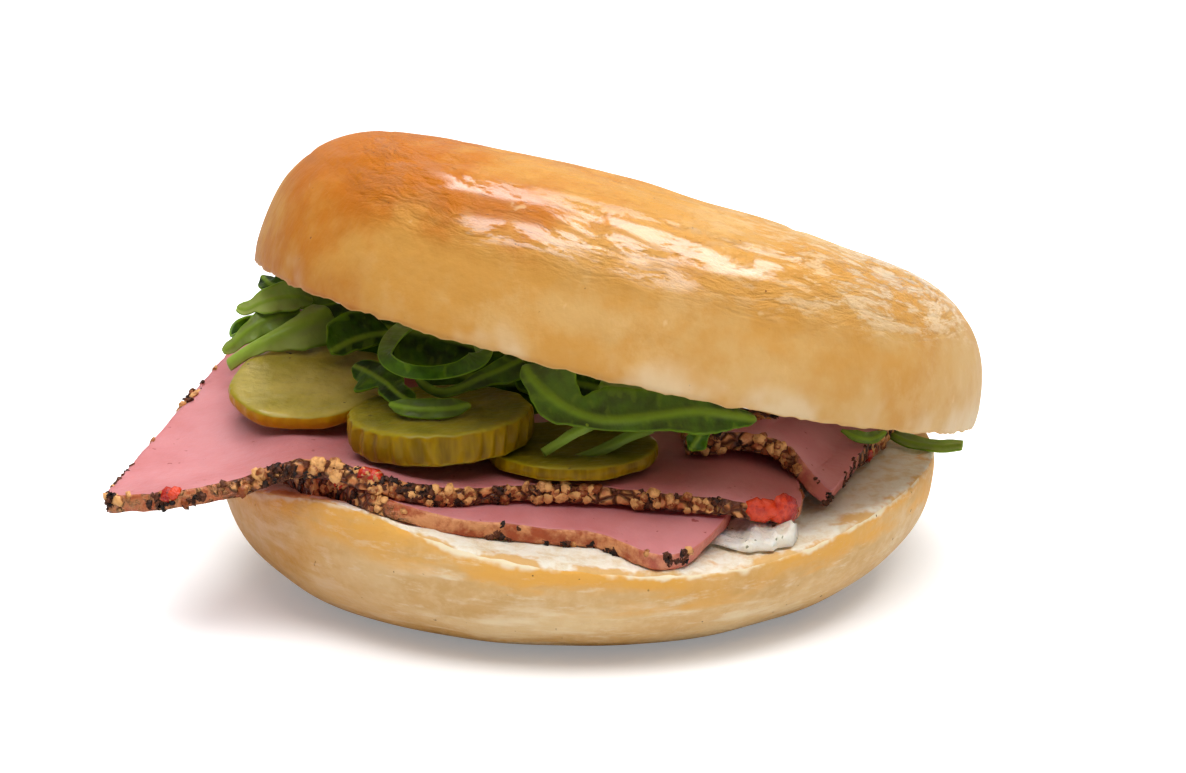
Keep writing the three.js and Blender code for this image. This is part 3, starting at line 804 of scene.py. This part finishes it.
# Painted highlight: the outer edge of each blade is made lighter and yellower, as if catching the light.
margin = between(tree, attribute(tree, "margin"), 0.86, 1.0, 0.0, 0.7)
colour = blend(tree, margin, colour, srgb(112, 146, 16))
rib = attribute(tree, "rib")
colour = blend(tree, between(tree, rib, 0.1, 0.9, 0.0, 0.75), colour, srgb(128, 156, 40))
join(tree, shader, Base_Color=colour)
bumps = relief(tree, veins, 0.0008, 0.5)
join(tree, shader, Normal=relief(tree, grain(tree, place, 0.0012, 3), 0.0003, 0.4, bumps))

LEAF_ROWS, LEAF_COLUMNS = 72, 16


def smooth_path(stops):
    """A smooth path through places in millimetres, as evenly spaced points."""
    stops = np.array(stops, float)
    ends = np.vstack([2 * stops[0] - stops[1], stops, 2 * stops[-1] - stops[-2]])
    points = []
    for i in range(1, len(ends) - 2):
        before, start, end, after = ends[i - 1:i + 3]
        for t in np.linspace(0, 1, 24, endpoint=False):
            points.append(0.5 * (2 * start + (end - before) * t
                                 + (2 * before - 5 * start + 4 * end - after) * t ** 2
                                 + (3 * start - before - 3 * end + after) * t ** 3))
    points = np.array(points + [stops[-1]])
    run = np.concatenate([[0], np.cumsum(np.linalg.norm(np.diff(points, axis=0), axis=1))])
    steps = np.linspace(0, run[-1], LEAF_ROWS + 1)
    return np.stack([np.interp(steps, run, points[:, k]) for k in range(3)], axis=1)


def width_along(widths, u):
    at_value = min(max(u, 0), 0.9999) * (len(widths) - 1)
    i = int(at_value)
    share = at_value - i
    share = share * share * (3 - 2 * share)
    return widths[i] * (1 - share) + widths[i + 1] * share


LEAF_BLADE = 0.32
RIPPLES = 3


def leaf(name, node, path, up, down, roll=(-20, -20), fold=0, rib=1.2, pale=(0.0,), wave=0.5, veined=1.0,
         tapered=(True, True)):
    """A leaf along its midrib's path, with the widths of its blade over and under the midrib."""
    line = smooth_path(path)
    tangents = np.gradient(line, axis=0)
    run = np.linalg.norm(np.diff(line, axis=0), axis=1).sum()
    bm = bmesh.new()
    bmesh.ops.create_grid(bm, x_segments=LEAF_ROWS, y_segments=LEAF_COLUMNS, size=0.5)
    numbers = {key: bm.verts.layers.float.new(key) for key in ("thick", "rib", "margin", "pale")}
    blade_place = bm.verts.layers.float_vector.new("blade")
    for vert in bm.verts:
        u = vert.co.x + 0.5
        side = vert.co.y * 2
        row = round(u * LEAF_ROWS)
        tangent = Vector(tangents[row]).normalized()
        across = FACING.cross(tangent).normalized()
        normal = tangent.cross(across).normalized()
        away = abs(side)
        blade = width_along(up if side > 0 else down, u)
        to_end = min(u if tapered[0] else 1, 1 - u if tapered[1] else 1) * run
        narrow = math.sqrt(min((to_end + 0.12) / 1.6, 1))
        distance = away ** 1.2 * (rib / 2 + blade) * narrow
        turn = math.radians(roll[0] * (1 - u) + roll[1] * u + fold * side)
        reach = math.copysign(distance, side)
        frill = wave * away ** 2 * math.sin(math.tau * u * RIPPLES + (0.0 if side > 0 else 2.0))
        frill *= min(blade / 2, 1)
        place = Vector(line[row]) + across * (reach * math.cos(turn)) + normal * (reach * math.sin(turn))
        place += normal * frill
        ridge = math.exp(-(distance / (0.62 * rib)) ** 2)
        end = min(u, 1 - u) * run
        blunt = math.sqrt(min(end / 0.5 + 0.15, 1))
        vert[numbers["thick"]] = (LEAF_BLADE + (rib - LEAF_BLADE) * ridge) * blunt
        vert[numbers["rib"]] = veined * math.exp(-(distance / (0.6 * rib)) ** 2)
        vert[numbers["margin"]] = away
        vert[numbers["pale"]] = width_along(pale, u) if len(pale) > 1 else pale[0]
        vert[blade_place] = (u * run, reach, 0)
        vert.co = at(*place)
    bmesh.ops.recalc_face_normals(bm, faces=bm.faces)
    piece = new_piece(name, bm)
    group = piece.vertex_groups.new(name="thickness")
    thick = np.empty(len(piece.data.vertices), np.float32)
    piece.data.attributes["thick"].data.foreach_get("value", thick)
    for i, value in enumerate(thick):
        group.add([i], float(value / rib), "REPLACE")
    wall = piece.modifiers.new("wall", "SOLIDIFY")
    wall.thickness = rib * MM
    wall.offset = 0
    wall.vertex_group = group.name
    settle(piece)
    dress(piece, "root", node, (leaf_green,))


# pale below is partly real, for the stems and the pale leaf, and partly painted light, for the lit leaves
# curl and left.
LEAVES = {
    "tip": dict(
        path=[[-50.2, 12, 42.8], [-48.7, 9, 42.3], [-46.3, 7, 42.0], [-43.8, 7, 40.7]],
        up=[0.2, 1, 1.5, 2, 2], down=[0.2, 1.2, 1, 0.5, 0.3], rib=0.7,
    ),
    "curl": dict(
        path=[[-53.2, 0, 40.9], [-51.4, -1, 41.0], [-49.1, -2, 42.3], [-46.7, -1, 42.8],
            [-43.8, 1, 42.4], [-41.7, 4, 41.1]],
        up=[0.7, 0.9, 1.6, 2.2, 1.4, 0.6], down=[0.8, 0.5, 2.1, 2.4, 1.5, 0.5], roll=[0, -20],
        fold=20, rib=0.7, pale=[0.8, 0.7, 0.5, 0.35, 0.2],
    ),
    "left": dict(
        path=[[-55.3, -3, 34.6], [-53.3, -3.5, 36.2], [-51.4, -3.5, 38.0], [-49.1, -3, 39.5],
            [-46.3, -2, 40.2], [-43.3, 0, 40.2]],
        up=[0.7, 0.5, 0.9, 1.6, 1.3, 0.8], down=[0.7, 0.8, 1.6, 1.8, 1.5, 1.0], roll=[-10, -20],
        rib=0.8, pale=[0.6, 0.4, 0.3, 0.2],
    ),
    "long": dict(
        path=[[-54.1, -7, 33.5], [-51.3, -7.5, 35.6], [-48.3, -7.5, 37.4], [-44.4, -7, 39.2],
            [-41.0, -6, 40.7], [-38.3, -4, 41.4]],
        up=[0, 0, 0, 0.3, 0.8, 1.5, 1.5], down=[0, 0, 0.4, 1.6, 3.0, 3.6, 3.6], roll=[-25, -15],
        fold=-12, rib=1.8, pale=[1, 0.9, 0.7, 0.45, 0.25], tapered=(False, True),
    ),
    "shade": dict(
        path=[[-37.9, -13, 37.5], [-36.2, -12.5, 38.2], [-34.1, -11.5, 39.0], [-31.5, -10.5, 39.4],
            [-28.8, -9, 39.3]],
        up=[3, 4.2, 4.6, 4.4, 3], down=[0.6, 1.2, 1.5, 1.3, 1], roll=[-20, -30], rib=0.9,
    ),
    "loop": dict(
        path=[[-25.2, -24, 45.4], [-27.1, -29, 44.9], [-28.1, -33, 44.1], [-27.9, -36, 43.3],
            [-25.9, -38, 42.5], [-22.9, -39, 42.1], [-19.5, -38.5, 42.0], [-16.1, -36.5, 42.3],
            [-14.2, -33, 42.5], [-13.6, -30, 43.2], [-15.2, -28, 43.6]],
        up=[1.2, 1.2, 1.1, 0.9, 0.8, 0.8, 0.9, 1.4, 1.9, 1.9],
        down=[1.1, 1.1, 1.0, 0.9, 0.8, 0.9, 1.2, 1.2], roll=[38, -34], rib=0.4,
        pale=[0.3, 0.15, 0.05, 0.0, 0.05, 0.3], wave=0.3, veined=0.0,
    ),
    "blade": dict(
        path=[[-24.0, -27, 37.6], [-22.3, -28, 36.5], [-20.2, -28.5, 35.8], [-17.7, -28, 36.2],
            [-14.7, -27, 37.3], [-11.7, -25, 38.1], [-8.1, -22, 38.9]],
        up=[0.2, 0.2, 0.3, 0.8, 1.3, 1.5], down=[0.3, 0.4, 0.5, 1.2, 2.2, 2.6], roll=[-10, -20],
        rib=0.8, pale=[0.1],
    ),
    "lobed": dict(
        path=[[-33.8, -20, 37.4], [-31.5, -23, 37.3], [-28.9, -27, 37.0], [-26.6, -31, 36.3],
            [-24.3, -34, 35.7]],
        up=[0.8, 1.9, 2.3, 1.6, 1.2], down=[1.0, 1.7, 3.4, 0.9, 1.6, 1.6, 1.0], roll=[-15, -30],
        rib=0.7,
    ),
    "front": dict(
        path=[[-7.6, -34, 41.6], [-6.2, -36.5, 40.2], [-4.3, -38.5, 38.8], [-1.9, -39.5, 37.2],
            [1.1, -40, 35.8], [4.3, -40, 35.0], [8.5, -39.5, 35.0], [12.9, -39, 35.4],
            [17.7, -38, 35.7], [22.2, -36, 34.6], [27.1, -33, 32.8]],
        up=[0.8, 3.0, 4.4, 4.8, 4.6, 3.2, 2.0, 3.6, 4.4, 4.6, 4.4, 4.0, 3.6, 3.2, 2.8, 2.2, 1.6,
            1.2, 0.9, 0.7, 0.5, 0.2],
        down=[0.3, 0.8, 1.0, 1.8, 2.5, 2.4, 1.5, 1.0, 0.9, 1.0, 1.2, 1.4, 1.6, 1.8, 2.4, 3.0, 3.0,
            2.6, 2.0, 1.2, 0.6, 0.2],
        roll=[-10, -25], rib=1.3, pale=[0.15, 0.1, 0.1, 0.0], wave=0.4,
    ),
    "stem": dict(
        path=[[-4.7, -39.2, 29.7], [-2.8, -40, 31.2], [-0.4, -40.5, 33.0], [2.3, -40.5, 34.6]],
        up=[0.1, 0.1, 0.2, 0.4], down=[0.1, 0.1, 0.2, 0.4], roll=[0, 0], pale=[0.5, 0.3], rib=1.2,
        tapered=(False, False),
    ),
    "cut_stem": dict(
        path=[[0.3, -38, 28.2], [2.6, -37.8, 29.0], [5.2, -37, 30.0], [7.9, -35.5, 31.0],
            [11.5, -33, 31.6]],
        up=[0.1] * 4, down=[0.1] * 4, roll=[0, 0], pale=[0.9, 0.5, 0.3], rib=1.5,
        tapered=(False, False),
    ),
    "pale": dict(
        path=[[3.7, -31, 37.9], [6.4, -32, 36.9], [9.4, -33, 35.8], [12.7, -34, 34.9]],
        up=[1.5, 2.2, 2.2, 1.2], down=[1.0, 1.4, 1.4, 0.8], rib=0.7, pale=[0.45],
    ),
    "edge": dict(
        path=[[40.9, -18, 26.5], [43.1, -18.5, 25.5], [45.7, -17, 24.7], [48.1, -14, 24.9]],
        up=[0.3, 0.9, 0.9, 0.3], down=[0.2, 0.4, 0.4, 0.2], rib=0.6, pale=[0.2],
    ),
    "right": dict(
        path=[[48.7, -2, 21.8], [50.4, -4, 20.9], [53.3, -6, 20.4], [56.8, -7, 20.2],
            [60.6, -8, 20.7]],
        up=[0.3, 1.4, 1.5, 1.2, 1.2, 0.8], down=[0.3, 0.6, 0.8, 0.6, 0.8, 0.5], roll=[-45, -45],
        rib=0.7, pale=[0.2, 0.4, 0.7], tapered=(True, False),
    ),
    "inner": dict(
        path=[[-27, -6, 37], [-19, -12, 34], [-10, -14, 33], [-1, -11, 31.5]], up=[3, 5, 5, 3],
        down=[2, 4, 5, 3], roll=[-15, -15],
    ),
    "core": dict(
        path=[[0.5, -17, 32.5], [9, -19, 32.5], [19, -19, 31.5]], up=[2, 3.5, 2.5, 1],
        down=[3, 4, 3, 1], roll=[-15, -15],
    ),
    "side": dict(
        path=[[-53.5, 12, 32], [-52.5, 21, 30], [-46, 32, 28.5]], up=[1, 3, 3, 1],
        down=[1, 3.5, 4, 2], roll=[-10, -20], fold=12,
    ),
    "under": dict(
        path=[[-50, 15, 26.5], [-42, 21, 26], [-33, 27, 25], [-22, 30, 23.2]], up=[2, 5, 5, 2],
        down=[2, 5, 5, 2], roll=[-73, -73],
    ),
    "back": dict(
        path=[[-43, 34, 30], [-30, 39, 28.5], [-16, 42, 26.5], [-2, 43, 24.5]], up=[2, 4, 4, 3, 1],
        down=[2, 4, 4, 2, 1], roll=[-30, -65],
    ),
}
for name, shape in LEAVES.items():
    leaf("leaf_" + name, "rocket_" + name, **shape)
leaf(
    "leaf_blunt", None,
    [[-27.7, -35, 36.0], [-25.3, -36.5, 35.8], [-22.3, -37, 35.7], [-18.9, -37, 35.8],
        [-15.5, -36, 36.1]],
    up=[0.3, 1.2, 1.4, 1.3, 0.3], down=[0.3, 0.9, 1.1, 1.0, 0.3], rib=0.8, pale=[0.15],
)
leaf(
    "leaf_deep_left", None, [[-43, -1, 38.5], [-34, -5, 39.3], [-25, -8, 39.3], [-15, -12, 38.0]],
    up=[2.5, 4.2, 4.4, 3.0], down=[3.0, 5.0, 5.0, 4.0], rib=0.9,
)
leaf(
    "leaf_deep_right", None, [[-9, -17, 36.2], [1, -20, 34.4], [11, -22, 33.2], [21, -22, 32.0]],
    up=[2.2, 2.8, 2.4, 1.4], down=[3.0, 4.0, 3.0, 2.0], rib=0.9,
)
leaf(
    "leaf_behind", None, [[-47.5, 8, 38.5], [-43.5, 9, 40.5], [-39.5, 10, 41.2], [-35.5, 11, 40.5]],
    up=[0.5, 1.6, 2.0, 1.5], down=[0.5, 2.0, 3.0, 2.0], rib=0.7, pale=[0.1],
)
leaf(
    "leaf_lobe", None, [[19.5, -37, 35.0], [19.2, -37.5, 33.3], [18.3, -38, 31.6], [17.1, -38, 29.7]],
    up=[1.4, 1.0, 1.0, 1.5, 0.8], down=[1.4, 1.0, 1.0, 1.2, 0.8], roll=[0, 0], rib=0.7, wave=0.2,
)

# ---------------------------------------------------------------- crown
# The upper half of the bagel, turned on the filling with its front left raised: egg-washed and baked to a
# golden tan, glossy and finely wrinkled along the top, matt on its side, and torn white along the cut.
CROWN_CENTRE = at(6.2, 1.0, 35.6)
CROWN_CUT = 20.0
CROWN_WEDGE = math.radians(2.0)
CROWN_TURN = (Matrix.Rotation(math.radians(13.2) + CROWN_WEDGE, 4, "Y")
              @ Matrix.Rotation(math.radians(-9.4), 4, "X") @ Matrix.Rotation(math.radians(90), 4, "Z"))


def over_crown_cut(local):
    return local[..., 2] + local[..., 1] * math.tan(CROWN_WEDGE)


crown = copied("bagel_crown", "crown_bread")
to_crown = np.array(CROWN_TURN.to_3x3())
mark_crumb(crown, lambda co: over_crown_cut(np.array((co - CROWN_CENTRE) / MM) @ to_crown), 0.9)
finer(crown, 3)
bake_ring(crown, CROWN_CENTRE, CROWN_TURN, WIDEST_HEIGHT - CROWN_CUT, over_crown_cut,
          seed=31.0, folds=0.3, ragged=0.85, hollow=1.3)

# Hotter at the left of the oven: the top and the left end are browner than the right, but the very top
# strip is made paler, a painted highlight.
points = (places(crown.data) - np.array(CROWN_CENTRE)) / MM
over = over_crown_cut(points @ to_crown)
left_end = ease(-points[:, 0], -10.0, 62.0)
leftward = 0.25 + 0.75 * ease(-points[:, 0], -45.0, 20.0)
browned = 0.30 + 0.46 * ease(over, 8.0, 22.0) * leftward + 0.42 * left_end
browned += 0.2 * waves(points * MM, 22, 9.0) - 0.12 * ease(points[:, 0], 10.0, 60.0)
# Painted highlight: the very top strip, right of the left end, is made less brown.
browned -= 0.16 * ease(over, 21.0, 26.0) * ease(points[:, 0], -50.0, -25.0)
keep(crown.data, "baked", browned)
# Painted highlight: pale streaks along the right of the shoulder stand for the shine of the egg wash there.
keep(crown.data, "dried", ease(points[:, 0], 4.0, 44.0) * ease(over, 12.0, 17.0))
glazed = (0.1 + 0.9 * ease(points[:, 0], -46.0, -24.0)) * (1 - 0.6 * ease(points[:, 0], 40, 54))
keep(crown.data, "glazed", glazed)

crust, tree, shader = new_material(
    "crown_crust", Roughness=0.5, Subsurface_Weight=0.08, Specular_IOR_Level=0.18,
    Subsurface_Radius=(4, 2, 1), Coat_Roughness=0.14, Coat_IOR=1.9,
)
place = object_place(tree)
ring = attribute(tree, "ring", "Vector")
over = attribute(tree, "over")
baked = attribute(tree, "baked")
mottle = grain(tree, place, 0.007, 5)
fine = grain(tree, place, 0.0022, 4)
tone = sums(tree, "ADD", baked, between(tree, mottle, 0.3, 0.7, -0.12, 0.12))
colour = blend(tree, between(tree, tone, 0.0, 0.5), srgb(218, 176, 112), srgb(208, 150, 70))
colour = blend(tree, between(tree, tone, 0.5, 1.0), colour, srgb(188, 106, 10))
blister = grain(tree, place, 0.0035, 2, offset=(0.5, 0.2, 0.3))
colour = blend(tree, between(tree, blister, 0.72, 0.8, 0.0, 0.5), colour, srgb(236, 200, 146))
pits = specks(tree, place, 0.0016, 0.74, (0.1, 0.7, 0.4))
colour = blend(tree, pits, colour, srgb(124, 72, 32))
smears = grain(tree, place, 0.011, 7, 0.65, offset=(0.4, 0.8, 0.6))
paler = between(tree, baked, 0.75, 0.35)
smeared = sums(tree, "MULTIPLY", between(tree, smears, 0.5, 0.66, 0.0, 0.25), paler)
colour = blend(tree, smeared, colour, srgb(234, 200, 144))
near_cut = sums(tree, "MULTIPLY", between(tree, over, 7.0, 1.0),
                between(tree, grain(tree, place, 0.016, 3, offset=(0.6, 0.2, 0.1)), 0.45, 0.62))
colour = blend(tree, sums(tree, "MULTIPLY", near_cut, 0.7), colour, srgb(232, 208, 168))
colour = blend(tree, between(tree, over, 0.5, 0.1), colour, srgb(214, 166, 104))

# The skin shrank into fine wrinkles that run round the ring, and the egg wash shines between them.
bent = wander(tree, ring, 1.1, (0.5, 0.5, 0.4))


def plates(tree, vector, size, stretch):
    """Flat plates of skin, 1 on the plate and 0 in the fine creases between."""
    mapped = put(tree, "Mapping", {"Vector": vector, "Scale": stretch}).outputs["Vector"]
    cells = put(tree, "TexVoronoi", {"Vector": mapped, "Scale": 1 / size}, feature="DISTANCE_TO_EDGE")
    return between(tree, cells.outputs["Distance"], 0.0, 0.14)


large = plates(tree, bent, 0.55, (0.4, 0.4, 1.2))
small = plates(tree, bent, 0.22, (0.45, 0.45, 1.1))
rough_skin = grain(tree, bent, 0.12, 5, 0.65, stretch=(0.5, 0.5, 1.0))
folds = grain(tree, bent, 0.6, 3, 0.5, stretch=(0.4, 0.4, 1.0), offset=(2, 5, 1))
washed = grain(tree, bent, 0.8, 4, 0.6, stretch=(0.5, 0.5, 1.3), offset=(7, 1, 4))
broken = grain(tree, bent, 0.2, 4, 0.7, stretch=(0.5, 0.5, 1.3), offset=(3, 2, 8))
# Painted highlight: near-white streaks on the right of the shoulder.
dried = sums(tree, "MULTIPLY", attribute(tree, "dried"), between(tree, broken, 0.46, 0.6, 0.0, 0.6))
colour = blend(tree, dried, colour, srgb(250, 224, 182))
on_top = sums(tree, "MULTIPLY", between(tree, over, 12.5, 18.5), between(tree, over, 25.0, 21.0, 0.2, 1.0))
shine = sums(tree, "MULTIPLY", on_top, attribute(tree, "glazed"))
shine = sums(tree, "MULTIPLY", shine, between(tree, washed, 0.36, 0.5, 0.0, 0.9))
shine = sums(tree, "MULTIPLY", shine, between(tree, broken, 0.42, 0.52, 0.02, 1.0))
skin = sums(tree, "ADD", sums(tree, "MULTIPLY", large, 0.05), sums(tree, "MULTIPLY", small, 0.12))
skin = sums(tree, "ADD", skin, sums(tree, "MULTIPLY", rough_skin, 1.3))
skin = sums(tree, "ADD", skin, sums(tree, "MULTIPLY", folds, 1.0))
skin = sums(tree, "MULTIPLY", skin, between(tree, over, 11.0, 18.0, 0.0, 1.0))
skin = sums(tree, "MULTIPLY", skin, between(tree, attribute(tree, "glazed"), 0.1, 0.7, 0.08, 1.0))
uneven = grain(tree, place, 0.009, 3, 0.5, offset=(0.3, 0.3, 0.8))
bumps = relief(tree, uneven, 0.0012, 0.5, relief(tree, fine, 0.0004, 0.35))
bumps = relief(tree, smears, 0.0006, 0.5, bumps)
join(tree, shader, Base_Color=colour, Coat_Weight=shine, Normal=relief(tree, skin, 0.0007, 0.9, bumps))

dress(crown, "root", "bagel_crown", (crust, crumb))
